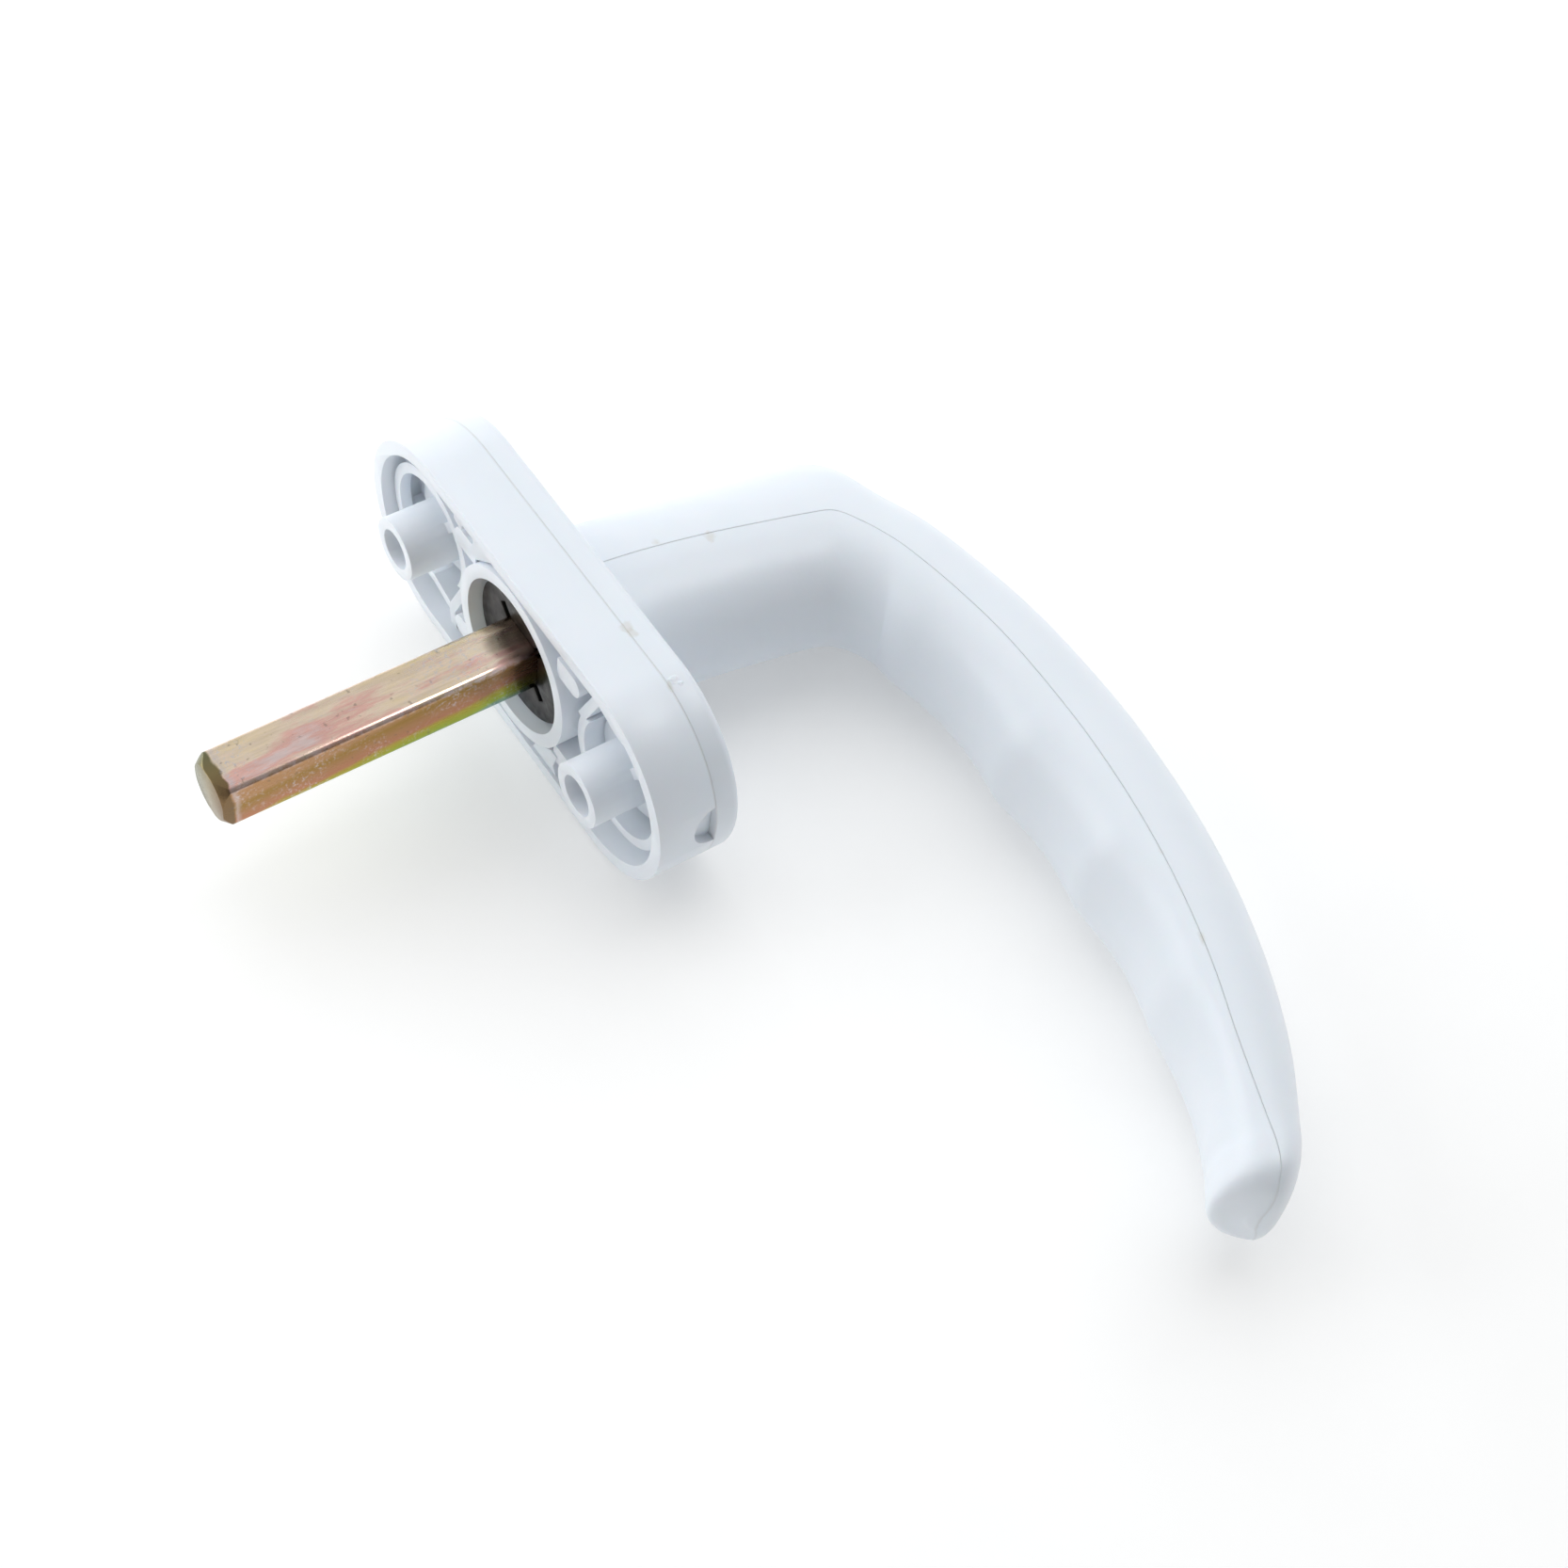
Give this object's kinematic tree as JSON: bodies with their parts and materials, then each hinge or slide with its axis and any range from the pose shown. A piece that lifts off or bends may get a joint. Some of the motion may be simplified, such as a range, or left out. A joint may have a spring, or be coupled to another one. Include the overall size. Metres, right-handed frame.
{
  "type": "tilt turn window handle",
  "caption": "Tilt and turn window handle with a curved hollow lever, a turning rosette cover, hollow screw posts and a square spindle.",
  "frame": {"origin": "on the spindle axis, in the plane where the rosette's back rim meets the sash", "axes": "+Y along the spindle into the sash, +X along the rosette away from the lever's tip, +Z across the rosette; the handle lies on its side"},
  "size_m": [0.1407, 0.0983, 0.0286],
  "materials": {
    "white_nylon": "satin moulded",
    "zinc": "die-cast",
    "passivated_steel": "yellow iridescent passivation",
    "spring_steel": "blackened",
    "acetal": "smooth"
  },
  "bodies": {
    "rosette": {"rosette_base": "white_nylon", "detent_spring_upper": "spring_steel", "detent_spring_lower": "spring_steel", "slide_washer": "acetal"},
    "lever": {"lever_outer_shell": "white_nylon", "lever_inner_shell": "white_nylon", "lever_core": "zinc", "spindle": "passivated_steel", "spindle_pin": "spring_steel", "retaining_washer": "spring_steel"},
    "cover": {"rosette_cover": "white_nylon"}
  },
  "joints": [
    {"name": "handle_turn", "type": "hinge", "parent": "rosette", "child": "lever", "pos_m": [0, 0, 0], "axis": [0, 1, 0], "range_deg": [-180, 180], "deforming": ["detent_spring_upper", "detent_spring_lower"]},
    {"name": "cover_turn", "type": "hinge", "parent": "rosette", "child": "cover", "pos_m": [0, 0, 0], "axis": [0, 1, 0], "range_deg": [-90, 90]}
  ]
}
